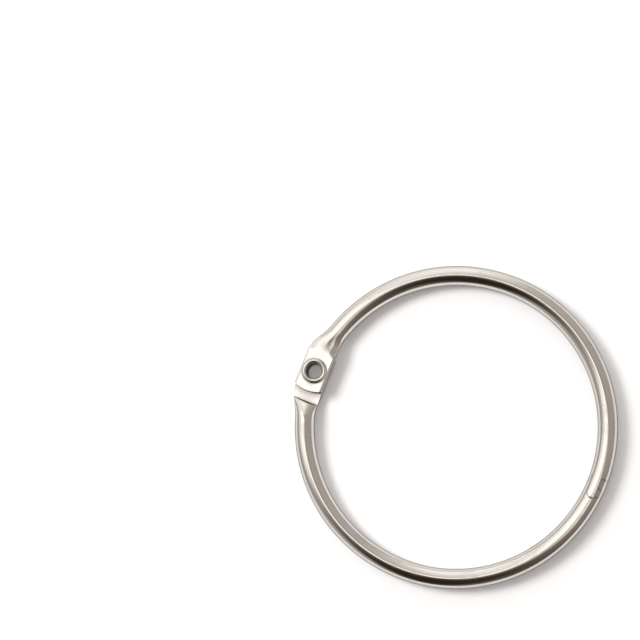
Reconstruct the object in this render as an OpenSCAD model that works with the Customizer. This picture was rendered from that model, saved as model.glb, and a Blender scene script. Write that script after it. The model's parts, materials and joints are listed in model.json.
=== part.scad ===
// Hinged book ring: two half rings of rolled steel tube on a hollow rivet,
// closed by a hooked tongue that snaps sideways into a fork.
// The ring lies in the XY plane round the origin, with the rivet on -X
// and the latch on +X.

/* [Ring] */
// Inside diameter of the closed ring
ring_bore = 50; // [38:1:76]
// Outside diameter of the rolled tube
tube_d = 3.5; // [3.2:0.1:4.2]
// Wall of the rolled tube
tube_wall = 0.7; // [0.6:0.01:0.85]

/* [Hinge tabs] */
// From the rivet's axis to the rounded end of a tab
tab_reach = 3.6; // [3.2:0.1:4.4]
// Radius of the tab's rounded end
tab_end_r = 6; // [5:0.5:9]
// Radius along the long edges of a pressed tab
tab_edge_r = 0.3; // [0.2:0.05:0.5]
// Space between the two tabs
tab_gap = 0.3; // [0.1:0.05:0.5]
// From the rivet's axis to where the tab starts to narrow
neck_start = 3; // [2.6:0.1:3.6]
// Length over which the flat tab turns into the round tube
neck_len = 5.5; // [4:0.5:8]
// From the rivet's axis to the foot of the step up to the full tube
step_at = 5.4; // [5:0.1:6.4]
// Lean of the step's face away from upright, in degrees
step_draft = 20; // [5:5:35]

/* [Hinge rivet] */
// Diameter of the hole through the rivet
rivet_bore = 2.8; // [2.2:0.1:3.4]
// Wall of the rivet's shank
rivet_wall = 0.4; // [0.3:0.05:0.5]
// Height of the rolled lip above its tab
lip_rise = 0.5; // [0.4:0.05:0.7]
// Radial clearance between the rivet and the tab that turns on it
turn_fit = 0.05; // [0.02:0.01:0.08]

/* [Latch] */
// Length of the tongue from its shoulder to its nose
tongue_len = 3.8; // [3.2:0.1:4.6]
// From the point opposite the rivet to the latch's middle, along the ring
latch_shift = 1.2; // [0:0.1:3]
// Length of the hooked head on the tongue
head_len = 1.8; // [1.5:0.1:2.2]
// How far the head's hook stands out beyond the tongue's neck
hook_depth = 0.6; // [0.3:0.05:0.7]
// Thickness of the outer prong beside the head
outer_prong = 0.55; // [0.4:0.05:0.7]
// Thickness of the inner prong at its tip
inner_prong_tip = 0.35; // [0.3:0.05:0.5]
// Thickness of the inner prong at its root
inner_prong_root = 0.7; // [0.6:0.05:0.8]
// Length of the open slot under the tongue, back from the prongs' tips
slot_len = 1.4; // [1:0.1:1.8]
// Clearance all round the tongue in its fork
latch_gap = 0.06; // [0.03:0.01:0.1]
// Length of solid bar behind the tongue
plug_len = 2; // [1:0.5:4]

/* [Hidden] */

ring_r = (ring_bore + tube_d) / 2;
tube_r = tube_d / 2;
bore_r = tube_r - tube_wall;

// A tube pressed flat is two walls thick and keeps its girth
tab_t = 2 * tube_wall;
tab_w = PI / 2 * (tube_d - tube_wall) + tube_wall;
tab_low = tab_gap / 2;
tab_top = tab_low + tab_t;
tab_mid = (tab_low + tab_top) / 2;

neck_end = neck_start + neck_len;
neck_angle = arc_angle(neck_end);
stations = 14;
girth_points = 60;
// The loft runs this far into the tab and the tube, just under their skins
lap = 0.4;
skin = 0.015;

shank_r = rivet_bore / 2 + rivet_wall;
// Axial clearance under the lip that the turning tab slides on
lip_gap = 0.04;

latch_angle = -arc_angle(latch_shift);
shoulder_angle = latch_angle + arc_angle(tongue_len / 2);
nose_angle = latch_angle - arc_angle(tongue_len / 2);
shoulder_y = tongue_len / 2;
nose_y = -tongue_len / 2;
neck_top_x = tube_r - outer_prong - hook_depth;
head_top_x = tube_r - outer_prong;
head_back_y = nose_y + head_len;
nose_r = tube_r - inner_prong_root;
// How far the head's outer corner lies behind the nose
corner_back = 0.45;
floor_z = -tube_r + tube_wall;
floor_end_y = shoulder_y - slot_len;
reach = 2 * tube_d;

$fn = 96;

function arc_angle(length) = length / ring_r * 180 / PI;
function mix(a, b, t) = a + (b - a) * t;
function ease(t) = t * t * (3 - 2 * t);

// A quarter of the flattened tube's outline, from its edge to its middle line
function flat_quarter(d, half_w, half_t, r) =
    let (side = half_t - r)
    let (turn = PI / 2 * r)
    let (bend = (d - side) / r * 180 / PI)
    d < side
        ? [half_w, d]
        : d < side + turn
            ? [half_w - r + r * cos(bend), side + r * sin(bend)]
            : [half_w - r - (d - side - turn), half_t];

// Point of the flattened outline at a share of its whole girth
function flat_point(share, half_w, half_t, r) =
    let (side = floor(4 * share))
    let (part = 4 * share - side)
    let (quarter = half_t + half_w + (PI / 2 - 2) * r)
    let (even = side % 2 == 0)
    let (p = flat_quarter(quarter * (even ? part : 1 - part), half_w, half_t, r))
    [(side == 0 || side == 3) ? p.x : -p.x, side < 2 ? p.y : -p.y];

// One section of the neck, at a length s from the rivet:
// the flat tab at neck_start turns into the round tube at neck_end
function neck_section(s) =
    let (e = ease(min(max((s - neck_start) / neck_len, 0), 1)))
    let (on_arc = [-ring_r * cos(arc_angle(s)), ring_r * sin(arc_angle(s))])
    let (centre = mix([-ring_r, s], on_arc, e))
    let (heading = mix(0, arc_angle(s), e))
    [for (i = [0:girth_points - 1])
        let (share = -i / girth_points + 1)
        let (on_tab = flat_point(share % 1, tab_w / 2 - skin, tab_t / 2 - skin, tab_edge_r - skin))
        let (flat = on_tab + [0, tab_mid])
        let (round = (tube_r - skin) * [cos(360 * share), sin(360 * share)])
        let (p = mix(flat, round, e))
        [centre.x + p.x * cos(heading), centre.y - p.x * sin(heading), p.y]];

// The tube's end between the flat tab and the round tube
module neck_loft() {
    n = girth_points;
    steps = [for (k = [0:stations]) neck_start + neck_len * k / stations];
    places = concat([neck_start - lap], steps, [neck_end + lap]);
    last = len(places) - 1;
    points = [for (s = places) each neck_section(s)];
    sides = [for (k = [0:last - 1]) for (i = [0:n - 1])
        let (a = k * n + i, b = k * n + (i + 1) % n)
        each [[a, a + n, b], [b, a + n, b + n]]];
    near_cap = [for (i = [0:n - 1]) i];
    far_cap = [for (i = [n - 1:-1:0]) last * n + i];
    polyhedron(points, concat(sides, [near_cap], [far_cap]));
}

// Cross-section of a pressed tab, with its four edges rounded
module tab_section() {
    edge_x = tab_w / 2 - tab_edge_r;
    edge_y = tab_t / 2 - tab_edge_r;
    polygon([for (corner = [0:3])
        let (centre_x = (corner == 0 || corner == 3) ? edge_x : -edge_x)
        let (centre_y = corner < 2 ? edge_y : -edge_y)
        for (turn = [0:15:90])
            let (a = 90 * corner + turn)
            [centre_x + tab_edge_r * cos(a), centre_y + tab_edge_r * sin(a)]]);
}

// Flat tab and neck, on the +Y side of the rivet and above the middle plane
module hinge_end(hole_r) {
    difference() {
        intersection() {
            translate([-ring_r, neck_start, tab_mid])
                rotate([90, 0, 0])
                    linear_extrude(height = tab_reach + neck_start)
                        tab_section();
            translate([-ring_r, tab_end_r - tab_reach, tab_low - 1])
                cylinder(r = tab_end_r, h = tab_t + 2);
        }
        translate([-ring_r, 0, tab_low - 1])
            cylinder(r = hole_r, h = tab_t + 2);
    }
    difference() {
        neck_loft();
        step_relief();
    }
}

// Room under the tab for the other tab, up to the sloping step
module step_relief() {
    foot = [step_at, tab_low];
    deep = [step_at + reach * tan(step_draft), tab_low - reach];
    translate([-ring_r - reach, 0, 0])
        rotate([90, 0, 90])
            linear_extrude(2 * reach)
                polygon([[0, foot.y], foot, deep, [0, deep.y]]);
}

// Round bar along the ring between two angles
module bar_arc(from, to, r = tube_r) {
    rotate([0, 0, from])
        rotate_extrude(angle = to - from)
            translate([ring_r, 0])
                circle(r = r);
}

// Puts its children at the latch, with X outwards and Y along the ring
module at_latch() {
    rotate([0, 0, latch_angle])
        translate([ring_r, 0, 0])
            children();
}

// Plan of the tongue, grown by a clearance for the fork's pocket
module tongue_plan(grow) {
    top_y = shoulder_y + tube_d;
    taper = (inner_prong_root - inner_prong_tip) / tongue_len;
    inner_x = -tube_r + inner_prong_tip - taper * tube_d - grow;
    polygon([
        [inner_x, top_y],
        [neck_top_x + grow, top_y],
        [neck_top_x + grow, head_back_y + grow],
        [head_top_x + grow, head_back_y + grow],
        [head_top_x + grow, nose_y + corner_back - grow],
        [0, nose_y + corner_back - grow],
        [-nose_r - grow, nose_y + nose_r]
    ]);
    translate([0, nose_y + nose_r])
        circle(r = nose_r + grow);
}

// What the tongue fills, or with a clearance what is cut for it
module tongue_space(grow) {
    edge = latch_gap - grow - 2 * reach;
    difference() {
        translate([0, 0, -reach])
            linear_extrude(2 * reach)
                tongue_plan(grow);
        translate([-reach, floor_end_y + edge, floor_z + edge])
            cube(2 * reach);
    }
}

// Half ring that ends in the hooked tongue
module tongue_half() {
    color("silver")
        difference() {
            union() {
                hinge_end(shank_r + turn_fit);
                bar_arc(nose_angle - arc_angle(1), 180 - neck_angle);
            }
            bar_arc(shoulder_angle + arc_angle(plug_len), 180 - neck_angle - arc_angle(2 * lap), bore_r);
            at_latch()
                difference() {
                    translate([-reach, shoulder_y - 2 * reach, -reach])
                        cube(2 * reach);
                    tongue_space(0);
                }
        }
}

// Half ring that ends in the two-pronged fork
module fork_half() {
    color("silver")
        difference() {
            union() {
                rotate([180, 0, 0])
                    hinge_end(shank_r);
                bar_arc(180 + neck_angle, 360 + shoulder_angle + arc_angle(1));
            }
            bar_arc(180 + neck_angle + arc_angle(2 * lap), 360 + nose_angle + arc_angle(lap), bore_r);
            at_latch() {
                tongue_space(latch_gap);
                translate([-reach, shoulder_y - 2 * latch_gap, -reach])
                    cube(2 * reach);
            }
        }
}

// Half section of the lip: a wall rolled outwards, flat where it faces the tab
module lip_section() {
    face_z = tab_top + lip_gap;
    crest_r = rivet_bore / 2 + rivet_wall;
    translate([rivet_bore / 2, face_z])
        square([2 * rivet_wall, lip_rise - rivet_wall]);
    intersection() {
        translate([crest_r, face_z + lip_rise - rivet_wall])
            circle(r = rivet_wall);
        translate([0, face_z])
            square(2 * crest_r);
    }
}

// Hollow rivet with a lip rolled over at each end
module hinge_rivet() {
    half_len = tab_top + lip_gap + lip_rise - rivet_wall;
    color("lightgray")
        translate([-ring_r, 0, 0])
            rotate_extrude() {
                translate([rivet_bore / 2, -half_len])
                    square([rivet_wall, 2 * half_len]);
                lip_section();
                mirror([0, 1])
                    lip_section();
            }
}

tongue_half();
fork_half();
hinge_rivet();
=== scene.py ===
"""Hinged book ring: two nickel-plated half rings on a hollow rivet, closed by a hooked tongue.

Laid out as an add-on and run as a script. Lengths are in metres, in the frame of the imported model:
the ring lies in the XY plane round the origin, with the rivet on -X and the latch on +X.
"""

import json
from math import asin, cos, degrees, pi, radians, sin, tan

import bmesh
import bpy
from bpy.props import FloatProperty, FloatVectorProperty, IntProperty, PointerProperty
from mathutils import Matrix, Quaternion, Vector


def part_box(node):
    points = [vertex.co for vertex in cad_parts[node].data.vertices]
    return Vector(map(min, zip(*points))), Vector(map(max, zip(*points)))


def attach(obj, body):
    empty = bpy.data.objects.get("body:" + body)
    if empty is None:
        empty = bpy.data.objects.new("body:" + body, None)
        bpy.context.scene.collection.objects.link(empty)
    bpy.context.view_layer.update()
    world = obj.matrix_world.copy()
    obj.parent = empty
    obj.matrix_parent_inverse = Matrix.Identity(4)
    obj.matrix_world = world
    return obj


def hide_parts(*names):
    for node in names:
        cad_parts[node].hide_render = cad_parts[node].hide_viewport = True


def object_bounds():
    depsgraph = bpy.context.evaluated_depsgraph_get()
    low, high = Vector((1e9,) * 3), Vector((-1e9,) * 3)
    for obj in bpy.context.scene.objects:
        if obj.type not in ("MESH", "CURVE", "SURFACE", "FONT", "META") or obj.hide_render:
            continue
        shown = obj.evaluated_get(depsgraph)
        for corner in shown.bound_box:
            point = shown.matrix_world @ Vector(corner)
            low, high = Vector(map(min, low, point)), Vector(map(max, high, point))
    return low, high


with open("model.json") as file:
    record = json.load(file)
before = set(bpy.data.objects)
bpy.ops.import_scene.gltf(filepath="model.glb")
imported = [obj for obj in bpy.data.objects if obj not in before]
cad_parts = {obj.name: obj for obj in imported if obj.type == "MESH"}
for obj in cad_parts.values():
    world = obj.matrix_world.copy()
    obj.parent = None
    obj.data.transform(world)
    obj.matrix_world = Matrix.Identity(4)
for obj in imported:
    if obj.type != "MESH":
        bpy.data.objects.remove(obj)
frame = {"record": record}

bl_info = {
    "name": "Hinged Book Ring",
    "version": (1, 0, 0),
    "blender": (4, 5, 0),
    "location": "View3D > Sidebar > Book Ring",
    "description": "Builds a nickel-plated book ring with a riveted hinge and a hooked latch",
    "category": "Add Mesh",
}

MM = 0.001
TONGUE_BODY = "tongue_side"
FORK_BODY = "fork_side"

# Fineness of the curves
ARC_STEP = radians(1)
TAB_END_SIDES = 256
LIP_STEPS = 16
BEVEL_SEGMENTS = 2
# Two places are one when they are nearer than this share of the edge rounding, or of the wall
NEAR = 0.02
# How much of its normal has to point up or down for a face to be level, or along Y to face that way
LEVEL = 0.9999
FACING = 0.99
# Angles between faces: dissolved as flat, kept sharp on a tab, smoothed over, bevelled
FLAT_ANGLE = radians(0.2)
CREASE_ANGLE = radians(2)
SMOOTH_ANGLE = radians(35)
BEVEL_ANGLE = radians(40)

# What the frame says: the box at the start, the rivet's place, eye and top, and one half's box
cad_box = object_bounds()
eye = next(mount for mount in frame["record"]["mounts"] if mount["name"] == "rivet_eye")
hinge = Vector(eye["pos_m"])
ring_radius = -hinge.x
eye_radius = eye["dims"]["r_mm"] * MM
tongue_low, tongue_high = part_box("tongue_half")
rivet_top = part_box("hinge_rivet")[1].z


# ---------------------------------------------------------------- settings


class RingSettings(bpy.types.PropertyGroup):
    tube: FloatProperty(
        name="Tube diameter", description="Outside diameter of the rolled tube",
        default=tongue_high.z - tongue_low.z, unit="LENGTH")
    wall: FloatProperty(
        name="Tube wall", description="Thickness of the tube's wall",
        default=0.7 * MM, unit="LENGTH")
    tab_width: FloatProperty(
        name="Tab width", description="Width of the pressed flat tab",
        default=2 * (hinge.x - tongue_low.x), unit="LENGTH")
    tab_edge: FloatProperty(
        name="Tab edge radius", description="Radius along the long edges of a tab",
        default=0.3 * MM, unit="LENGTH")
    tab_gap: FloatProperty(
        name="Tab gap", description="Space between the two tabs",
        default=0.3 * MM, unit="LENGTH")
    tab_reach: FloatProperty(
        name="Tab reach", description="From the rivet's axis to the end of a tab",
        default=-tongue_low.y, unit="LENGTH")
    tab_end: FloatProperty(
        name="Tab end radius", description="Radius of the tab's rounded end",
        default=6 * MM, unit="LENGTH")
    neck_start: FloatProperty(
        name="Neck start", description="From the rivet's axis to the neck's flat end",
        default=3 * MM, unit="LENGTH")
    neck_length: FloatProperty(
        name="Neck length", description="Length over which the tab turns into the tube",
        default=5.5 * MM, unit="LENGTH")
    step_at: FloatProperty(
        name="Step place", description="From the rivet's axis to the foot of the step",
        default=5.4 * MM, unit="LENGTH")
    step_draft: FloatProperty(
        name="Step draft", description="Lean of the step's face from upright",
        default=radians(20), unit="ROTATION")
    girth: IntProperty(
        name="Girth segments", description="Facets round the tube",
        default=96, min=24)
    bead: FloatProperty(
        name="Edge rounding", description="Width of the rounded cut edges",
        default=0.06 * MM, unit="LENGTH")


class RivetSettings(bpy.types.PropertyGroup):
    wall: FloatProperty(
        name="Rivet wall", description="Wall of the rivet's shank",
        default=0.4 * MM, unit="LENGTH")
    turn_fit: FloatProperty(
        name="Turning fit", description="Clearance of the shank in the turning tab",
        default=0.05 * MM, unit="LENGTH")
    lip_gap: FloatProperty(
        name="Lip gap", description="Clearance between the turning tab and the lip",
        default=0.04 * MM, unit="LENGTH")


class LatchSettings(bpy.types.PropertyGroup):
    shift: FloatProperty(
        name="Latch shift", description="From opposite the rivet to the latch's middle",
        default=1.2 * MM, unit="LENGTH")
    tongue: FloatProperty(
        name="Tongue length", description="From the tongue's shoulder to its nose",
        default=3.8 * MM, unit="LENGTH")
    head: FloatProperty(
        name="Head length", description="Length of the hooked head",
        default=1.8 * MM, unit="LENGTH")
    hook: FloatProperty(
        name="Hook depth", description="How far the hook stands out beyond the neck",
        default=0.6 * MM, unit="LENGTH")
    outer_prong: FloatProperty(
        name="Outer prong", description="Thickness of the outer prong beside the head",
        default=0.55 * MM, unit="LENGTH")
    inner_tip: FloatProperty(
        name="Inner prong tip", description="Thickness of the inner prong at its tip",
        default=0.35 * MM, unit="LENGTH")
    inner_root: FloatProperty(
        name="Inner prong root", description="Thickness of the inner prong at its root",
        default=0.7 * MM, unit="LENGTH")
    slot: FloatProperty(
        name="Slot length", description="Open slot under the tongue",
        default=1.4 * MM, unit="LENGTH")
    corner: FloatProperty(
        name="Head corner", description="How far the head's corner lies behind the nose",
        default=0.45 * MM, unit="LENGTH")
    gap: FloatProperty(
        name="Latch gap", description="Clearance round the tongue",
        default=0.06 * MM, unit="LENGTH")


class FinishSettings(bpy.types.PropertyGroup):
    plate: FloatVectorProperty(
        name="Plate colour", description="Colour of clean nickel plate",
        default=(0.68, 0.665, 0.63), subtype="COLOR")
    tarnish: FloatVectorProperty(
        name="Tarnish colour", description="Colour of rubbed and dulled plate",
        default=(0.56, 0.545, 0.505), subtype="COLOR")
    # Dark colour of dirt, also used to paint shade into gaps, corners and the plate near the floor
    grime_and_shade: FloatVectorProperty(
        name="Grime colour", description="Colour of the dirt in gaps and corners",
        default=(0.16, 0.14, 0.12), subtype="COLOR")
    gloss: FloatProperty(
        name="Gloss roughness", description="Roughness of clean plate",
        default=0.10, min=0, max=1, subtype="FACTOR")
    worn: FloatProperty(
        name="Worn roughness", description="Roughness of rubbed plate",
        default=0.26, min=0, max=1, subtype="FACTOR")
    # Painted shade: a dark tint of the grazing reflections, which gives the tube a dark outline
    rim: FloatVectorProperty(
        name="Rim tint", description="Tint of the plate where it turns away from the eye",
        default=(0.22, 0.205, 0.19), subtype="COLOR")


class StudioSettings(bpy.types.PropertyGroup):
    distance: FloatProperty(
        name="Camera distance", description="From the ring's middle to the camera",
        default=0.424, unit="LENGTH")
    lens: FloatProperty(
        name="Lens", description="Focal length in millimetres",
        default=135)
    view_tilt: FloatProperty(
        name="View tilt", description="Lean of the view from straight down",
        default=radians(6), unit="ROTATION")
    view_angle: FloatProperty(
        name="View angle", description="Side of the ring that the view leans to",
        default=radians(-23.5), unit="ROTATION")
    up_angle: FloatProperty(
        name="Up angle", description="Angle on the ring that points up in the view",
        default=radians(111.5), unit="ROTATION")
    frame_right: FloatProperty(
        name="Frame right", description="Ring's middle to the right, in view widths",
        default=0.211)
    frame_down: FloatProperty(
        name="Frame down", description="Ring's middle down, in view widths",
        default=0.166)
    floor_size: FloatProperty(
        name="Floor size", description="Side of the square floor",
        default=6, unit="LENGTH")
    floor_colour: FloatVectorProperty(
        name="Floor colour", description="Colour of the pale floor",
        default=(0.84, 0.85, 0.865), subtype="COLOR")
    floor_glow: FloatProperty(
        name="Floor glow", description="Added to the floor where it is seen",
        default=0.18, min=0)
    room_light: FloatProperty(
        name="Room light", description="Strength of the room and its panels",
        default=1.18, min=0)
    warmth: FloatProperty(
        name="Warmth", description="How much warmer the weak light is than the strong",
        default=0.045, min=0.001, max=0.2)
    overhead: FloatProperty(
        name="Overhead blend", description="Width of the change from dark to bright",
        default=0.55, min=0.01)
    key_power: FloatProperty(
        name="Key power", description="Power of the soft key lamp",
        default=2.4, unit="POWER")
    key_size: FloatProperty(
        name="Key size", description="Diameter of the key lamp",
        default=0.25, unit="LENGTH")
    key_distance: FloatProperty(
        name="Key distance", description="From the ring's middle to the key lamp",
        default=0.6, unit="LENGTH")
    key_lean: FloatProperty(
        name="Key lean", description="Angle between the key lamp and the view's axis",
        default=radians(45), unit="ROTATION")
    key_around: FloatProperty(
        name="Key around", description="Side of the key lamp, from the view's right",
        default=radians(158), unit="ROTATION")
    key_colour: FloatVectorProperty(
        name="Key colour", description="Colour of the key lamp",
        default=(1.0, 0.99, 0.97), subtype="COLOR")


# ---------------------------------------------------------------- tools for modelling


def deselect():
    """Leaves edit mode and selects nothing."""
    if bpy.context.object and bpy.context.object.mode != "OBJECT":
        bpy.ops.object.mode_set(mode="OBJECT")
    bpy.ops.object.select_all(action="DESELECT")


def activate(piece):
    """Makes the piece the only one selected."""
    deselect()
    piece.select_set(True)
    bpy.context.view_layer.objects.active = piece


def edit(piece):
    """Enters edit mode on the piece."""
    activate(piece)
    bpy.ops.object.mode_set(mode="EDIT")


def done():
    """Leaves edit mode."""
    bpy.ops.object.mode_set(mode="OBJECT")


def place_mesh(piece):
    """Puts the piece's place and turn into its mesh."""
    activate(piece)
    bpy.ops.object.transform_apply(location=True, rotation=True, scale=True)


def pick(piece, kind, wanted):
    """In edit mode, selects the edges or faces for which wanted() is true."""
    bpy.ops.mesh.select_mode(type=kind)
    bpy.ops.mesh.select_all(action="DESELECT")
    mesh = bmesh.from_edit_mesh(piece.data)
    for item in {"EDGE": mesh.edges, "FACE": mesh.faces}[kind]:
        item.select_set(wanted(item))
    mesh.select_flush_mode()
    bmesh.update_edit_mesh(piece.data)


def weld(ring):
    """In edit mode, merges the points that lie on each other, and selects all."""
    bpy.ops.mesh.select_all(action="SELECT")
    bpy.ops.mesh.remove_doubles(threshold=ring.bead * NEAR)
    bpy.ops.mesh.select_all(action="SELECT")


def face_outwards():
    """In edit mode, turns all faces outwards."""
    bpy.ops.mesh.select_all(action="SELECT")
    bpy.ops.mesh.normals_make_consistent(inside=False)


def middle(edge):
    """Point halfway along an edge."""
    return (edge.verts[0].co + edge.verts[1].co) / 2


def is_level(face):
    """Whether a face lies level, turned up or down."""
    return abs(face.normal.z) > LEVEL


def add_modifier(piece, kind, **values):
    """Adds a modifier with these values and applies it."""
    activate(piece)
    bpy.ops.object.modifier_add(type=kind)
    modifier = piece.modifiers[-1]
    for name, value in values.items():
        setattr(modifier, name, value)
    bpy.ops.object.modifier_apply(modifier=modifier.name)


def cut(piece, cutter, operation="DIFFERENCE"):
    """Boolean of the piece with a cutter, which is used up."""
    add_modifier(piece, "BOOLEAN", operation=operation, solver="EXACT", object=cutter)
    bpy.data.objects.remove(cutter)


def wire(points):
    """Chain of edges through the points, left in edit mode with its last vertex selected."""
    deselect()
    bpy.ops.mesh.primitive_plane_add(size=MM, location=points[0])
    piece = bpy.context.object
    bpy.ops.object.mode_set(mode="EDIT")
    bpy.ops.mesh.select_mode(type="VERT")
    bpy.ops.mesh.select_all(action="SELECT")
    bpy.ops.mesh.merge(type="CENTER")
    for start, end in zip(points, points[1:]):
        step = Vector(end) - Vector(start)
        bpy.ops.mesh.extrude_vertices_move(TRANSFORM_OT_translate={"value": step})
    return piece


def prism(outline, low, high):
    """Solid over an outline of (x, y) points, from z = low to z = high."""
    piece = wire([(x, y, low) for x, y in outline])
    bpy.ops.mesh.select_all(action="SELECT")
    bpy.ops.mesh.edge_face_add()
    bpy.ops.mesh.extrude_region_move(TRANSFORM_OT_translate={"value": (0, 0, high - low)})
    face_outwards()
    done()
    place_mesh(piece)
    return piece


def arc(centre, radius, start, end, steps):
    """Points of an arc in a plane, from angle start to end in degrees."""
    turns = [radians(start + (end - start) * step / steps) for step in range(steps + 1)]
    return [(centre[0] + radius * cos(turn), centre[1] + radius * sin(turn)) for turn in turns]


def turned(piece, quaternion):
    """Turns the piece's mesh about the origin."""
    activate(piece)
    piece.rotation_mode = "QUATERNION"
    piece.rotation_quaternion = quaternion
    place_mesh(piece)
    return piece


# ---------------------------------------------------------------- the half rings


def arc_angle(length):
    """Angle of a length along the ring's middle line."""
    return length / ring_radius


def on_ring(angle):
    """Place on the ring's middle line at an angle about Z."""
    return ring_radius * cos(angle), ring_radius * sin(angle), 0


def section(radius, vertices, angle):
    """Circle across the ring at an angle about Z."""
    deselect()
    bpy.ops.mesh.primitive_circle_add(vertices=vertices, radius=radius, fill_type="NOTHING",
                                      location=on_ring(angle), rotation=(pi / 2, 0, angle))
    piece = bpy.context.object
    place_mesh(piece)
    return piece


def spin_bar(radius, vertices, start, end):
    """Round bar along the ring from angle start to end, open at both ends."""
    piece = section(radius, vertices, start)
    edit(piece)
    bpy.ops.mesh.select_all(action="SELECT")
    bpy.ops.mesh.spin(steps=round(abs(end - start) / ARC_STEP), angle=start - end,
                      center=(0, 0, 0), axis=(0, 0, 1), use_auto_merge=False)
    done()
    return piece


def close_ends(piece):
    """Fills each open end with one face and turns all faces outwards."""
    edit(piece)
    bpy.ops.mesh.select_all(action="SELECT")
    bpy.ops.mesh.fill_holes(sides=0)
    face_outwards()
    done()


def drop_faces(piece, wanted):
    """Deletes the faces for which wanted() is true, and leaves their rims open."""
    edit(piece)
    pick(piece, "FACE", wanted)
    bpy.ops.mesh.delete(type="ONLY_FACE")
    done()


def tab_outline(ring):
    """Cross-section of the flat tab, with its points even along its girth."""
    edge = ring.tab_edge
    side = ring.wall - edge
    bend = pi / 2 * edge
    quarter = side + bend + ring.tab_width / 2 - edge
    outline = []
    for point in range(ring.girth):
        number, share = divmod(4 * point / ring.girth, 1)
        along = quarter * (1 - share if number % 2 else share)
        turn = min(max((along - side) / edge, 0), pi / 2)
        x = ring.tab_width / 2 - edge + edge * cos(turn) - max(along - side - bend, 0)
        z = min(along, side) + edge * sin(turn)
        outline.append((x if number in (0, 3) else -x, z if number < 2 else -z))
    return outline


def peg(ring, radius, sides, y, level):
    """Upright cylinder on the tab's middle line, taller than the tab."""
    deselect()
    bpy.ops.mesh.primitive_cylinder_add(vertices=sides, radius=radius, depth=ring.tube,
                                        location=(hinge.x, y, level))
    return bpy.context.object


def tab_plate(ring, hole_radius):
    """The flat tab on the +Y side of the rivet, open where the neck starts."""
    level = ring.tab_gap / 2 + ring.wall
    outline = tab_outline(ring)
    plate = wire([(hinge.x + x, ring.neck_start, level + z) for x, z in outline + outline[:1]])
    done()
    place_mesh(plate)
    edit(plate)
    weld(ring)
    past_end = -ring.neck_start - ring.tab_reach - ring.wall
    bpy.ops.mesh.extrude_edges_move(TRANSFORM_OT_translate={"value": (0, past_end, 0)})
    done()
    close_ends(plate)
    end_middle = ring.tab_end - ring.tab_reach
    cut(plate, peg(ring, ring.tab_end, TAB_END_SIDES, end_middle, level), "INTERSECT")
    cut(plate, peg(ring, hole_radius, ring.girth, 0, level))
    drop_faces(plate, lambda face: face.normal.y > FACING
               and abs(face.calc_center_median().y - ring.neck_start) < ring.wall * NEAR)
    return plate


def half_blank(ring, hole_radius, far_angle):
    """A half ring on +Y with its tab on top: tab, neck, and a bar cut square at the far angle."""
    neck_angle = pi - arc_angle(ring.neck_start + ring.neck_length)
    plate = tab_plate(ring, hole_radius)
    blank = spin_bar(ring.tube / 2, ring.girth, neck_angle, far_angle)
    activate(blank)
    plate.select_set(True)
    bpy.ops.object.join()
    edit(blank)
    # The neck: a smooth bridge from the tab's open end to the bar's
    neck_cuts = ring.girth // 6
    pick(blank, "EDGE", lambda edge: edge.is_boundary and middle(edge).x < 0)
    bpy.ops.mesh.bridge_edge_loops(type="SINGLE", number_cuts=neck_cuts, interpolation="SURFACE")
    pick(blank, "FACE", lambda face: is_level(face)
         and face.calc_center_median().y < ring.neck_start)
    bpy.ops.mesh.dissolve_limited(angle_limit=FLAT_ANGLE)
    done()
    close_ends(blank)
    cut(blank, step_relief(ring))
    return blank


def step_relief(ring):
    """Room under the tab for the other tab, up to the sloping step."""
    level = ring.tab_gap / 2
    depth = ring.tube
    outline = [(0, level - depth), (ring.step_at + depth * tan(ring.step_draft), level - depth),
               (ring.step_at, level), (0, level)]
    piece = prism(outline, hinge.x - ring.tube, hinge.x + ring.tube)
    return turned(piece, Quaternion((1, 1, 1), radians(120)))


def at_latch(piece, latch):
    """Moves a piece, made with X outwards and Y along the ring, to the latch."""
    activate(piece)
    angle = -arc_angle(latch.shift)
    piece.location = on_ring(angle)
    piece.rotation_euler = (0, 0, angle)
    place_mesh(piece)
    return piece


def block(low, high):
    """Box between two corners."""
    deselect()
    size = Vector(high) - Vector(low)
    bpy.ops.mesh.primitive_cube_add(size=1, location=(Vector(low) + Vector(high)) / 2, scale=size)
    piece = bpy.context.object
    place_mesh(piece)
    return piece


def tongue_prism(ring, latch, grow):
    """The tongue's plan as a tall solid, grown by a clearance for the fork's pocket."""
    radius = ring.tube / 2
    shoulder, nose = latch.tongue / 2, -latch.tongue / 2
    neck_x = radius - latch.outer_prong - latch.hook + grow
    head_x = radius - latch.outer_prong + grow
    back_y = nose + latch.head + grow
    front_y = nose + latch.corner - grow
    nose_radius = radius - latch.inner_root
    taper = (latch.inner_root - latch.inner_tip) / latch.tongue
    inner_x = -radius + latch.inner_tip - taper * ring.tube - grow
    meet = -degrees(asin((nose_radius - latch.corner + grow) / (nose_radius + grow)))
    outline = [(inner_x, shoulder + ring.tube), (neck_x, shoulder + ring.tube), (neck_x, back_y),
               (head_x, back_y), (head_x, front_y)]
    outline += arc((0, nose + nose_radius), nose_radius + grow, meet, -180, ring.girth // 4)
    return prism(outline, -ring.tube, ring.tube)


def fork_floor(ring, latch, grow):
    """The fork's floor under the tongue's head."""
    far = 2 * ring.tube
    top = -ring.tube / 2 + ring.wall + latch.gap - grow
    end = latch.tongue / 2 - latch.slot + latch.gap - grow
    return block((-far, end - far, top - far), (far, end, top))


def rounds_over(edge, ring):
    """Whether the edge lies between a tab's level face and its rounded side."""
    level = [is_level(face) and abs(face.calc_center_median().y) < ring.neck_start
             for face in edge.link_faces]
    return any(level) and edge.calc_face_angle(0) > CREASE_ANGLE


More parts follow.
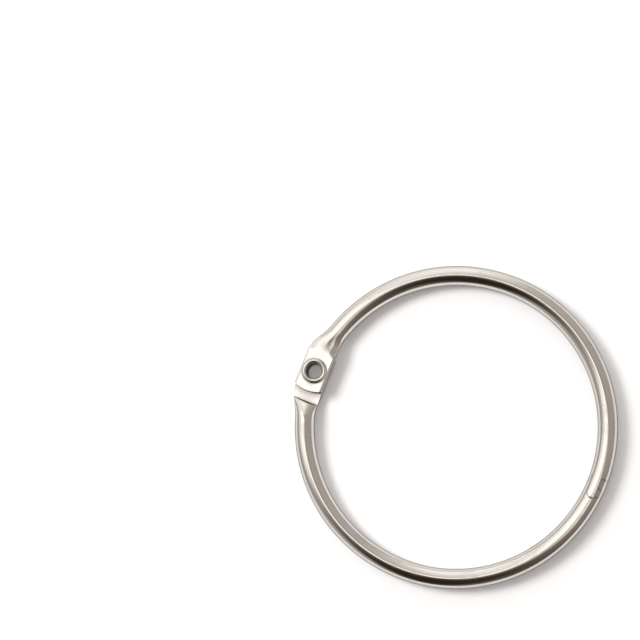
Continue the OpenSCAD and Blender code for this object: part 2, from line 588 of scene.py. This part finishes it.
def finish_steel(piece, name, body, nodes, ring):
    """Rounds the cut edges, smooths the rest, names the piece, sets it on its body and hides the
    model's parts it stands for.
    """
    edit(piece)
    weld(ring)
    face_outwards()
    done()
    if ring.bead > 0:
        add_modifier(piece, "BEVEL", width=ring.bead, segments=BEVEL_SEGMENTS,
                     limit_method="ANGLE", angle_limit=BEVEL_ANGLE, use_clamp_overlap=True)
    activate(piece)
    bpy.ops.object.shade_smooth_by_angle(angle=SMOOTH_ANGLE)
    # Keeps the level faces flat up to their rounded edges
    edit(piece)
    pick(piece, "EDGE", lambda edge: rounds_over(edge, ring))
    bpy.ops.mesh.mark_sharp()
    done()
    add_modifier(piece, "WEIGHTED_NORMAL", keep_sharp=True)
    piece.name = name
    piece.data.name = name
    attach(piece, body)
    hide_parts(*nodes)
    return piece


def build_tongue_half(ring, rivet, latch):
    """Half ring with the upper tab, cut back at the latch to the hooked tongue."""
    shoulder = latch.tongue / 2
    far = 2 * ring.tube
    hole = eye_radius + rivet.wall + rivet.turn_fit
    half = half_blank(ring, hole, -arc_angle(latch.shift + shoulder + ring.wall))
    # Cuts off all past the shoulder but the tongue's plan, then room for the fork's floor
    waste = block((-far, shoulder - 2 * far, -far), (far, shoulder, far))
    cut(waste, tongue_prism(ring, latch, 0))
    cut(half, at_latch(waste, latch))
    cut(half, at_latch(fork_floor(ring, latch, 0), latch))
    return finish_steel(half, "tongue_half_steel", TONGUE_BODY, ["tongue_half"], ring)


def build_fork_half(ring, rivet, latch):
    """Half ring with the lower tab and a hollow bar, with the tongue's pocket at the latch."""
    shoulder = latch.tongue / 2
    far = 2 * ring.tube
    end = arc_angle(latch.shift - shoulder - ring.wall)
    half = half_blank(ring, eye_radius + rivet.wall, end)
    bore_start = pi - arc_angle(ring.neck_start + ring.neck_length + ring.wall)
    bore_end = arc_angle(latch.shift + shoulder - ring.wall / 2)
    bore = spin_bar(ring.tube / 2 - ring.wall, ring.girth // 2, bore_start, bore_end)
    close_ends(bore)
    cut(half, bore)
    # Turned over, its tab lies under the other half's
    turned(half, Quaternion((1, 0, 0), pi))
    pocket = tongue_prism(ring, latch, latch.gap)
    cut(pocket, fork_floor(ring, latch, latch.gap))
    cut(half, at_latch(pocket, latch))
    # The prongs end just short of the tongue's shoulder
    end_face = shoulder - 2 * latch.gap
    cut(half, at_latch(block((-far, end_face, -far), (far, end_face + far, far)), latch))
    return finish_steel(half, "fork_half_steel", FORK_BODY, ["fork_half"], ring)


def build_rivet(ring, rivet):
    """Hollow rivet: its section spun round its axis, with a lip rolled over at each end."""
    wall = rivet.wall
    face = ring.tab_gap / 2 + 2 * ring.wall + rivet.lip_gap
    upper = arc((eye_radius + wall, rivet_top - wall), wall, 180, 0, LIP_STEPS)
    upper += [(eye_radius + 2 * wall, face), (eye_radius + wall, face)]
    lower = [(x, -z) for x, z in reversed(upper)]
    outline = upper + lower + upper[:1]
    eyelet = wire([(hinge.x + x, 0, z) for x, z in outline])
    done()
    place_mesh(eyelet)
    edit(eyelet)
    bpy.ops.mesh.select_all(action="SELECT")
    bpy.ops.mesh.spin(steps=ring.girth, angle=2 * pi, center=hinge, axis=(0, 0, 1),
                      use_auto_merge=False)
    weld(ring)
    face_outwards()
    done()
    return finish_steel(eyelet, "hinge_rivet_eyelet", FORK_BODY, ["hinge_rivet"], ring)


# ---------------------------------------------------------------- node helpers


def node(tree, kind, links=None, **values):
    """Adds a node; values set its properties, or its inputs where they are no property."""
    made = tree.nodes.new(kind)
    for name, value in values.items():
        if hasattr(made, name):
            setattr(made, name, value)
        else:
            made.inputs[name.replace("_", " ")].default_value = value
    for target, source in (links or {}).items():
        tree.links.new(source, made.inputs[target])
    return made


def sums(tree, operation, first, second=None, third=None, clamp=False):
    """Math node on sockets or plain numbers; gives its output."""
    made = tree.nodes.new("ShaderNodeMath")
    made.operation = operation
    made.use_clamp = clamp
    for socket, value in zip(made.inputs, (first, second, third)):
        if isinstance(value, (int, float)):
            socket.default_value = value
        elif value is not None:
            tree.links.new(value, socket)
    return made.outputs[0]


def ranged(tree, value, low, high):
    """Smooth step of a value: 0 at low, 1 at high."""
    made = node(tree, "ShaderNodeMapRange", {"Value": value}, interpolation_type="SMOOTHSTEP",
                From_Min=low, From_Max=high)
    return made.outputs["Result"]


def mixed(tree, share, first, second):
    """Mix of two colours, each a socket or a colour."""
    made = tree.nodes.new("ShaderNodeMix")
    made.data_type = "RGBA"
    for name, value in (("Factor_Float", share), ("A_Color", first), ("B_Color", second)):
        socket = next(item for item in made.inputs if item.identifier == name)
        if isinstance(value, bpy.types.NodeSocket):
            tree.links.new(value, socket)
        else:
            socket.default_value = value
    return next(item for item in made.outputs if item.identifier == "Result_Color")


def combined(tree, x, y, z):
    """Vector of three sockets or plain numbers."""
    made = tree.nodes.new("ShaderNodeCombineXYZ")
    for socket, value in zip(made.inputs, (x, y, z)):
        if isinstance(value, (int, float)):
            socket.default_value = value
        else:
            tree.links.new(value, socket)
    return made.outputs[0]


def length_of(tree, vector):
    """Length of a vector socket."""
    return node(tree, "ShaderNodeVectorMath", {0: vector}, operation="LENGTH").outputs["Value"]


def noise(tree, vector, **values):
    """Noise at the vector socket's place."""
    return node(tree, "ShaderNodeTexNoise", {"Vector": vector}, **values).outputs["Fac"]


def new_group(name, inputs, outputs):
    """Shader node group with sockets given as {name: kind}; gives also its inside ends."""
    tree = bpy.data.node_groups.new(name, "ShaderNodeTree")
    for in_out, sockets in (("INPUT", inputs), ("OUTPUT", outputs)):
        for label, kind in sockets.items():
            tree.interface.new_socket(name=label, in_out=in_out, socket_type="NodeSocket" + kind)
    return tree, tree.nodes.new("NodeGroupInput").outputs, tree.nodes.new("NodeGroupOutput").inputs


def place_group(tree, group, links, **values):
    """Places a group with linked sockets and set values; gives its outputs."""
    made = tree.nodes.new("ShaderNodeGroup")
    made.node_tree = group
    for name, value in values.items():
        made.inputs[name.replace("_", " ")].default_value = value
    for target, source in links.items():
        tree.links.new(source, made.inputs[target])
    return made.outputs


# ---------------------------------------------------------------- nickel plate


# Drawn lines: how far the noise is squeezed along and across the working, and their mask's range
FINE_LINES = (90, 9000, 9000)
BROAD_LINES = (25, 1500, 1500)
LINES = (0.5, 0.68)
# Rubbed patches and pits: scale of the texture, and where its mask starts and is full
RUB_SCALE = 260
RUBBED = (0.5, 0.72)
PIT_SCALE = 1500
PIT = (0.22, 0.05)
PITTED_SCALE = 600
PITTED = (0.6, 0.7)
# Dirt with painted shade in gaps, corners and near the floor: how near the next surface has to be,
# and the openness where it starts and is full
SHADE_AND_GRIME_REACH = 1.8 * MM
SHADED_AND_GRIMY = (0.97, 0.45)
# How far each of them dulls the plate, colours it with the dark colour of dirt and painted shade,
# and raises it, and the whole height
LINE_DULL, RUB_DULL, SHADE_AND_GRIME_DULL = 0.35, 0.45, 0.9
PIT_COLOUR, SHADE_AND_GRIME_COLOUR = 0.6, 0.8
FINE_HEIGHT, BROAD_HEIGHT, RUB_HEIGHT = 0.25, 0.55, 0.5
RELIEF = 0.004 * MM


def grain_group():
    """Coordinates that follow the metal's working round an axis, for lines along a tube or lip."""
    name = "worked_round_axis"
    if name in bpy.data.node_groups:
        return bpy.data.node_groups[name]
    tree, given, wanted = new_group(name, {
        "Vector": "Vector", "Centre": "Vector", "Radius": "Float",
    }, {"Vector": "Vector"})
    offset = node(tree, "ShaderNodeVectorMath", {0: given["Vector"], 1: given["Centre"]},
                  operation="SUBTRACT")
    parts = node(tree, "ShaderNodeSeparateXYZ", {0: offset.outputs[0]}).outputs
    turn = sums(tree, "ARCTAN2", parts["Y"], parts["X"])
    along = sums(tree, "MULTIPLY", turn, given["Radius"])
    flat = combined(tree, parts["X"], parts["Y"], 0.0)
    tree.links.new(combined(tree, along, length_of(tree, flat), parts["Z"]), wanted["Vector"])
    return tree


def drawn_lines(tree, grain, squeeze, detail, roughness):
    """Noise squeezed along the metal's working."""
    place = node(tree, "ShaderNodeMapping", {"Vector": grain.outputs[0]}, Scale=squeeze)
    return noise(tree, place.outputs[0], Scale=1.0, Detail=detail, Roughness=roughness)


def plate_group():
    """Nickel plate: tint, roughness and height from drawn lines, rubbed patches, pits, and dirt with
    painted shade in gaps, corners and near the floor.
    """
    name = "nickel_plate_wear"
    if name in bpy.data.node_groups:
        return bpy.data.node_groups[name]
    tree, given, wanted = new_group(name, {
        "Grain Vector": "Vector", "Vector": "Vector",
        "Plate": "Color", "Tarnish": "Color", "Grime": "Color",
        "Gloss Roughness": "Float", "Worn Roughness": "Float", "Line Density": "Float",
    }, {"Color": "Color", "Roughness": "Float", "Height": "Float"})
    grain = node(tree, "ShaderNodeVectorMath",
                 {0: given["Grain Vector"], 1: given["Line Density"]}, operation="MULTIPLY")
    # Drawn lines: the mean of a fine and a broad noise
    fine = drawn_lines(tree, grain, FINE_LINES, detail=3.0, roughness=0.6)
    broad = drawn_lines(tree, grain, BROAD_LINES, detail=2.0, roughness=0.5)
    lines = sums(tree, "MULTIPLY", fine, 0.5)
    lines = ranged(tree, sums(tree, "MULTIPLY_ADD", broad, 0.5, lines), *LINES)
    # The plate dulls where rings knock and slide on each other
    patch = noise(tree, given["Vector"], Scale=RUB_SCALE, Detail=4.0, Roughness=0.62,
                  Distortion=0.4)
    rubbed = ranged(tree, patch, *RUBBED)
    # Pits stand in groups
    spots = node(tree, "ShaderNodeTexVoronoi", {"Vector": given["Vector"]}, feature="F1",
                 Scale=PIT_SCALE, Randomness=1.0).outputs["Distance"]
    groups = noise(tree, given["Vector"], Scale=PITTED_SCALE, Detail=1.0)
    pit = sums(tree, "MULTIPLY", ranged(tree, spots, *PIT), ranged(tree, groups, *PITTED))
    # Dirt and painted shade: darker in the gaps and corners, and where another surface or the floor
    # lies near
    shelter = node(tree, "ShaderNodeAmbientOcclusion", samples=8, only_local=False,
                   Distance=SHADE_AND_GRIME_REACH)
    dirt_and_shade = ranged(tree, shelter.outputs["AO"], *SHADED_AND_GRIMY)
    # Tint
    dull = sums(tree, "MULTIPLY", rubbed, RUB_DULL)
    dull = sums(tree, "MULTIPLY_ADD", lines, LINE_DULL, dull, clamp=True)
    tint = mixed(tree, dull, given["Plate"], given["Tarnish"])
    tint = mixed(tree, sums(tree, "MULTIPLY", pit, PIT_COLOUR), tint, given["Grime"])
    tint = mixed(tree, sums(tree, "MULTIPLY", dirt_and_shade, SHADE_AND_GRIME_COLOUR), tint, given["Grime"])
    tree.links.new(tint, wanted["Color"])
    # Roughness
    spread = sums(tree, "SUBTRACT", given["Worn Roughness"], given["Gloss Roughness"])
    worn = sums(tree, "MAXIMUM", dull, sums(tree, "MULTIPLY", dirt_and_shade, SHADE_AND_GRIME_DULL))
    rough = sums(tree, "MULTIPLY_ADD", worn, spread, given["Gloss Roughness"])
    tree.links.new(rough, wanted["Roughness"])
    # Height
    height = sums(tree, "MULTIPLY", broad, BROAD_HEIGHT)
    height = sums(tree, "MULTIPLY_ADD", fine, FINE_HEIGHT, height)
    height = sums(tree, "MULTIPLY_ADD", patch, RUB_HEIGHT, height)
    tree.links.new(sums(tree, "SUBTRACT", height, pit), wanted["Height"])
    return tree


def nickel(name, centre, radius, finish, gloss, density, bump):
    """Nickel plate on steel, worked round a centre."""
    if name in bpy.data.materials:
        return bpy.data.materials[name]
    material = bpy.data.materials.new(name)
    material.use_nodes = True
    tree = material.node_tree
    shader = tree.nodes["Principled BSDF"]
    place = node(tree, "ShaderNodeTexCoord").outputs["Object"]
    grain = place_group(tree, grain_group(), {"Vector": place}, Centre=centre, Radius=radius)
    plate = place_group(tree, plate_group(), {"Grain Vector": grain["Vector"], "Vector": place},
                        Plate=(*finish.plate, 1), Tarnish=(*finish.tarnish, 1),
                        Grime=(*finish.grime_and_shade, 1), Gloss_Roughness=gloss,
                        Worn_Roughness=finish.worn, Line_Density=density)
    relief = node(tree, "ShaderNodeBump", {"Height": plate["Height"]}, Strength=bump,
                  Distance=RELIEF)
    tree.links.new(plate["Color"], shader.inputs["Base Color"])
    tree.links.new(plate["Roughness"], shader.inputs["Roughness"])
    tree.links.new(relief.outputs["Normal"], shader.inputs["Normal"])
    shader.inputs["Metallic"].default_value = 1.0
    # Painted shade: on a metal this darkens the reflections seen at a grazing angle, drawing a dark
    # outline round the tube
    shader.inputs["Specular Tint"].default_value = (*finish.rim, 1)
    return material


def dress(piece, material):
    """Gives the piece this material alone."""
    piece.data.materials.clear()
    piece.data.materials.append(material)


def tube_nickel(finish):
    """Plate on the tube, with lines along the ring."""
    return nickel("nickel_on_rolled_tube", (0, 0, 0), ring_radius, finish,
                  gloss=finish.gloss, density=1.0, bump=0.5)


def rivet_nickel(finish):
    """Plate on the rivet, rougher and with closer lines round its eye."""
    return nickel("nickel_on_rivet", tuple(hinge), eye_radius, finish,
                  gloss=finish.gloss * 1.3, density=1.6, bump=0.6)


# ---------------------------------------------------------------- the studio


SENSOR_WIDTH = 36
# Just over 1, so that the direction straight down the view doesn't divide by nothing
DOME_RISE = 1.02


def studio_axes(studio):
    """Right, up and back of the view onto the ring."""
    tilt, across = studio.view_tilt, studio.view_angle
    back = Vector((sin(tilt) * cos(across), sin(tilt) * sin(across), cos(tilt)))
    upright = Vector((cos(studio.up_angle), sin(studio.up_angle), 0))
    right = upright.cross(back).normalized()
    return right, back.cross(right), back


def studio_matrix(studio):
    """Turn from the view's axes to the world's."""
    return Matrix(studio_axes(studio)).transposed()


def build_camera(studio):
    """Camera on the view's axis, turned so that the ring stands off centre."""
    camera = bpy.data.cameras.new("studio_camera")
    camera.lens = studio.lens
    camera.sensor_width = SENSOR_WIDTH
    camera.clip_start = 0.01
    camera.clip_end = 20
    piece = bpy.data.objects.new("studio_camera", camera)
    bpy.context.scene.collection.objects.link(piece)
    focal = studio.lens / SENSOR_WIDTH
    sight = Vector((studio.frame_right, -studio.frame_down, -focal))
    pan = sight.rotation_difference(Vector((0, 0, -1)))
    piece.location = studio_axes(studio)[2] * studio.distance
    piece.rotation_mode = "QUATERNION"
    piece.rotation_quaternion = studio_matrix(studio).to_quaternion() @ pan
    bpy.context.scene.camera = piece


def build_floor(studio):
    """Matt pale floor under the ring, which glows a little where it is seen."""
    deselect()
    bpy.ops.mesh.primitive_plane_add(size=studio.floor_size, location=(0, 0, cad_box[0][2]))
    floor = bpy.context.object
    place_mesh(floor)
    floor.name = "studio_floor"
    material = bpy.data.materials.new("pale_floor")
    material.use_nodes = True
    tree = material.node_tree
    shader = tree.nodes["Principled BSDF"]
    shader.inputs["Roughness"].default_value = 0.9
    shader.inputs["Specular IOR Level"].default_value = 0.0
    shader.inputs["Base Color"].default_value = (*studio.floor_colour, 1)
    rays = node(tree, "ShaderNodeLightPath").outputs
    seen = sums(tree, "ADD", rays["Is Camera Ray"], rays["Is Glossy Ray"])
    seen = sums(tree, "ADD", seen, rays["Is Transmission Ray"], clamp=True)
    strength = sums(tree, "MULTIPLY", seen, studio.floor_glow)
    glow = node(tree, "ShaderNodeEmission", {"Strength": strength})
    both = node(tree, "ShaderNodeAddShader", {0: shader.outputs[0], 1: glow.outputs[0]})
    tree.links.new(both.outputs[0], tree.nodes["Material Output"].inputs["Surface"])
    dress(floor, material)


def panel_group():
    """Soft-edged oval on the studio's dome: 1 inside, 0 outside."""
    tree, given, wanted = new_group("soft_panel", {
        "Vector": "Vector", "Centre": "Vector", "Turn": "Vector", "Size": "Vector",
        "Edge": "Float",
    }, {"Mask": "Float"})
    inside = node(tree, "ShaderNodeMapping", {
        "Vector": given["Vector"], "Location": given["Centre"], "Rotation": given["Turn"],
        "Scale": given["Size"]}, vector_type="TEXTURE")
    reach = length_of(tree, inside.outputs[0])
    step = node(tree, "ShaderNodeMapRange", {"Value": reach}, interpolation_type="SMOOTHSTEP")
    tree.links.new(sums(tree, "ADD", 1.0, given["Edge"]), step.inputs["From Min"])
    tree.links.new(sums(tree, "SUBTRACT", 1.0, given["Edge"]), step.inputs["From Max"])
    tree.links.new(step.outputs["Result"], wanted["Mask"])
    return tree


# Soft panels round the ring, on a dome flattened so that the way back to the camera is (0, 0)
# and the ways square to it lie about 1 from there: centre, turn in degrees, half sizes, edge,
# brightness
PANELS = [
    ((-0.20, 0.65), 145, (0.30, 0.60), 0.60, 1.15),
    ((-0.35, 0.30), 90, (0.35, 0.30), 0.40, 0.95),
    ((-1.45, -0.30), 160, (1.30, 0.30), 0.90, 0.55),
    ((-0.25, 0.10), 35, (0.15, 0.08), 0.20, 1.25),
    ((0.05, -0.02), 140, (0.14, 0.06), 0.30, 1.40),
    ((-0.15, -0.40), 80, (0.45, 0.25), 0.55, 0.02),
    ((-0.11, 0.09), 150, (0.06, 0.05), 0.30, 1.45),
    ((-0.30, 0.20), 125, (0.20, 0.12), 0.30, 1.30),
]
# Brightness of the room behind the panels, from the view's bottom (0) to its top (1)
ROOM = [
    (0.0, 0.005), (0.05, 0.01), (0.15, 0.1), (0.25, 0.2), (0.5, 0.35), (0.75, 0.4), (1.0, 0.55),
]


def warm(level, studio):
    """Colour of a brightness: the weaker light has bounced more often, so it is warmer."""
    shift = studio.warmth / (level + 2 * studio.warmth)
    return level * (1 + shift), level * (1 - shift / 4), level * (1 - shift), 1


def build_world(studio):
    """Room that goes from dark to bright, with soft panels, all turned to the view."""
    world = bpy.data.worlds.new("studio_room")
    bpy.context.scene.world = world
    world.use_nodes = True
    tree = world.node_tree
    direction = node(tree, "ShaderNodeTexCoord").outputs["Generated"]
    aim = node(tree, "ShaderNodeMapping", {"Vector": direction}, vector_type="TEXTURE",
               Rotation=studio_matrix(studio).to_euler())
    parts = node(tree, "ShaderNodeSeparateXYZ", {0: aim.outputs[0]}).outputs
    rise = sums(tree, "ADD", parts["Z"], DOME_RISE)
    x = sums(tree, "DIVIDE", parts["X"], rise)
    y = sums(tree, "DIVIDE", parts["Y"], rise)
    dome = combined(tree, x, y, 0.0)
    # How far a direction leans to the view's top, blended round the view's axis
    spread = combined(tree, parts["X"], parts["Y"], studio.overhead)
    lean = sums(tree, "DIVIDE", parts["Y"], length_of(tree, spread))
    side = sums(tree, "MULTIPLY_ADD", lean, 0.5, 0.5)
    ramp = node(tree, "ShaderNodeValToRGB", {"Fac": side})
    stops = ramp.color_ramp.elements
    while len(stops) < len(ROOM):
        stops.new(0.5)
    for stop, (place, brightness) in zip(stops, ROOM):
        stop.position = place
        stop.color = warm(brightness, studio)
    light = ramp.outputs["Color"]
    group = panel_group()
    for centre, turn, size, edge, brightness in PANELS:
        panel = place_group(tree, group, {"Vector": dome}, Centre=(*centre, 0),
                            Turn=(0, 0, radians(turn)), Size=(*size, 1), Edge=edge)
        light = mixed(tree, panel["Mask"], light, warm(brightness, studio))
    background = tree.nodes["Background"]
    tree.links.new(light, background.inputs["Color"])
    background.inputs["Strength"].default_value = studio.room_light


def build_key(studio):
    """Soft lamp at the view's upper left, for the shadow; the steel doesn't reflect it."""
    lamp = bpy.data.lights.new("key_softbox", "AREA")
    lamp.shape = "DISK"
    lamp.size = studio.key_size
    lamp.energy = studio.key_power
    lamp.color = studio.key_colour
    piece = bpy.data.objects.new("key_softbox", lamp)
    bpy.context.scene.collection.objects.link(piece)
    right, up, back = studio_axes(studio)
    lean, around = studio.key_lean, studio.key_around
    towards = (right * cos(around) + up * sin(around)) * sin(lean) + back * cos(lean)
    piece.location = towards * studio.key_distance
    piece.rotation_mode = "QUATERNION"
    piece.rotation_quaternion = (-towards).to_track_quat("-Z", "Y")
    piece.visible_glossy = False


def build_studio(studio):
    """Camera, floor, room and key lamp."""
    build_camera(studio)
    build_floor(studio)
    build_world(studio)
    build_key(studio)
    bpy.context.scene.view_settings.view_transform = "Standard"


# ---------------------------------------------------------------- operators and panel


class BOOKRING_OT_tongue_half(bpy.types.Operator):
    """Builds the half ring that ends in the hooked tongue"""
    bl_idname = "bookring.tongue_half"
    bl_label = "Tongue Half"

    def execute(self, context):
        scene = context.scene
        half = build_tongue_half(scene.book_ring, scene.book_rivet, scene.book_latch)
        dress(half, tube_nickel(scene.book_finish))
        return {"FINISHED"}


class BOOKRING_OT_fork_half(bpy.types.Operator):
    """Builds the half ring that ends in the two-pronged fork"""
    bl_idname = "bookring.fork_half"
    bl_label = "Fork Half"

    def execute(self, context):
        scene = context.scene
        half = build_fork_half(scene.book_ring, scene.book_rivet, scene.book_latch)
        dress(half, tube_nickel(scene.book_finish))
        return {"FINISHED"}


class BOOKRING_OT_rivet(bpy.types.Operator):
    """Builds the hollow rivet of the hinge"""
    bl_idname = "bookring.rivet"
    bl_label = "Hinge Rivet"

    def execute(self, context):
        scene = context.scene
        rivet = build_rivet(scene.book_ring, scene.book_rivet)
        dress(rivet, rivet_nickel(scene.book_finish))
        return {"FINISHED"}


class BOOKRING_OT_studio(bpy.types.Operator):
    """Sets up the floor, the soft light and the camera"""
    bl_idname = "bookring.studio"
    bl_label = "Studio"

    def execute(self, context):
        build_studio(context.scene.book_studio)
        return {"FINISHED"}


class BOOKRING_PT_panel(bpy.types.Panel):
    bl_label = "Hinged Book Ring"
    bl_idname = "BOOKRING_PT_panel"
    bl_space_type = "VIEW_3D"
    bl_region_type = "UI"
    bl_category = "Book Ring"

    def draw(self, context):
        for operator in OPERATORS:
            self.layout.operator(operator.bl_idname)
        for name, group in SETTINGS.items():
            box = self.layout.box()
            for key in group.__annotations__:
                box.prop(getattr(context.scene, name), key)


SETTINGS = {
    "book_ring": RingSettings,
    "book_rivet": RivetSettings,
    "book_latch": LatchSettings,
    "book_finish": FinishSettings,
    "book_studio": StudioSettings,
}
OPERATORS = [BOOKRING_OT_tongue_half, BOOKRING_OT_fork_half, BOOKRING_OT_rivet, BOOKRING_OT_studio]


def register():
    """Adds the settings, the operators and the panel."""
    for group in SETTINGS.values():
        bpy.utils.register_class(group)
    for name, group in SETTINGS.items():
        setattr(bpy.types.Scene, name, PointerProperty(type=group))
    for kind in OPERATORS + [BOOKRING_PT_panel]:
        bpy.utils.register_class(kind)


def unregister():
    """Takes back what register() added."""
    for kind in reversed(OPERATORS + [BOOKRING_PT_panel]):
        bpy.utils.unregister_class(kind)
    for name in SETTINGS:
        delattr(bpy.types.Scene, name)
    for group in SETTINGS.values():
        bpy.utils.unregister_class(group)


def main():
    """Builds the pieces and the studio in order."""
    register()
    for operator in OPERATORS:
        category, name = operator.bl_idname.split(".")
        getattr(getattr(bpy.ops, category), name)()


if __name__ == "__main__":
    main()
